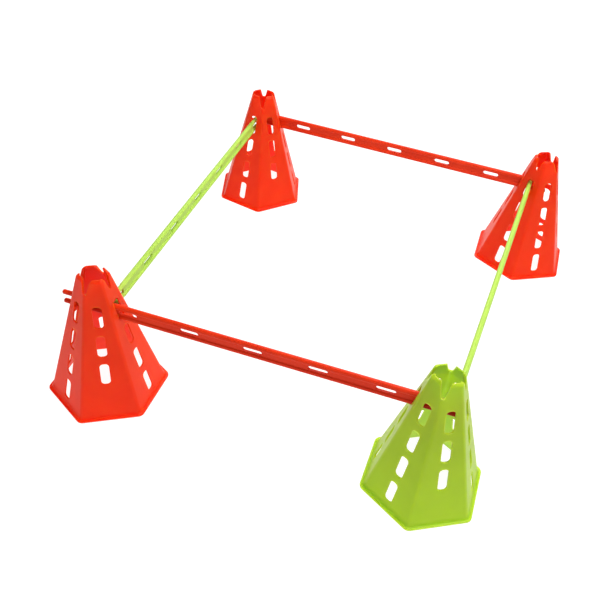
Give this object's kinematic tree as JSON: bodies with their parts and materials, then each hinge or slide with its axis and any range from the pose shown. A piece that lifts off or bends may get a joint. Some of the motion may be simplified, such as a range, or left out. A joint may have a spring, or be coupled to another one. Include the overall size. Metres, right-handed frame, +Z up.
{
  "type": "agility hurdle",
  "caption": "Square of low training hurdles: hollow slotted hexagonal cones hold long slotted bars at a chosen height.",
  "frame": {"origin": "on the floor, under the centre of the standing layout", "axes": "+X runs along the front bar from the left to the right front cone; +Y runs from the front pair of cones to the back pair; +Z up"},
  "size_m": [0.9291, 1.011, 0.2795],
  "materials": {
    "orange_plastic": "satin moulded polypropylene, orange-red",
    "lime_plastic": "satin moulded polypropylene, lime green"
  },
  "bodies": {
    "cone_front_left": {"cone_front_left": "orange_plastic"},
    "cone_front_right": {"cone_front_right": "lime_plastic"},
    "cone_back_left": {"cone_back_left": "orange_plastic"},
    "cone_back_right": {"cone_back_right": "orange_plastic"},
    "bar_front": {"bar_front": "orange_plastic"},
    "bar_back": {"bar_back": "orange_plastic"},
    "bar_left": {"bar_left": "lime_plastic"},
    "bar_right": {"bar_right": "lime_plastic"}
  },
  "joints": [
    {"name": "width_slide", "type": "slide", "parent": "cone_front_left", "child": "cone_front_right", "axis": [1, 0, 0], "range_m": [-0.014, 0.025]},
    {"name": "left_depth_slide", "type": "slide", "parent": "cone_front_left", "child": "cone_back_left", "axis": [-0.0209, 0.9998, 0], "range_m": [-0.0015, 0.01]},
    {"name": "right_depth_slide", "type": "slide", "parent": "cone_front_right", "child": "cone_back_right", "axis": [0.0541, 0.9985, 0], "range_m": [-0.0015, 0.01]},
    {"name": "front_bar_slide", "type": "slide", "parent": "cone_front_left", "child": "bar_front", "axis": [1, 0, 0], "range_m": [-0.03, 0.06]},
    {"name": "left_bar_slide", "type": "slide", "parent": "cone_front_left", "child": "bar_left", "axis": [-0.0209, 0.9998, 0], "range_m": [-0.007, 0.012]},
    {"name": "right_bar_slide", "type": "slide", "parent": "cone_front_right", "child": "bar_right", "axis": [0.0541, 0.9985, 0], "range_m": [-0.004, 0.002]},
    {"name": "back_bar_slide", "type": "slide", "parent": "cone_back_left", "child": "bar_back", "axis": [0.9992, -0.041, 0], "range_m": [-0.003, 0.004]}
  ],
  "couplings": [
    {"joint": "right_depth_slide", "follows": "left_depth_slide", "ratio": 1}
  ]
}
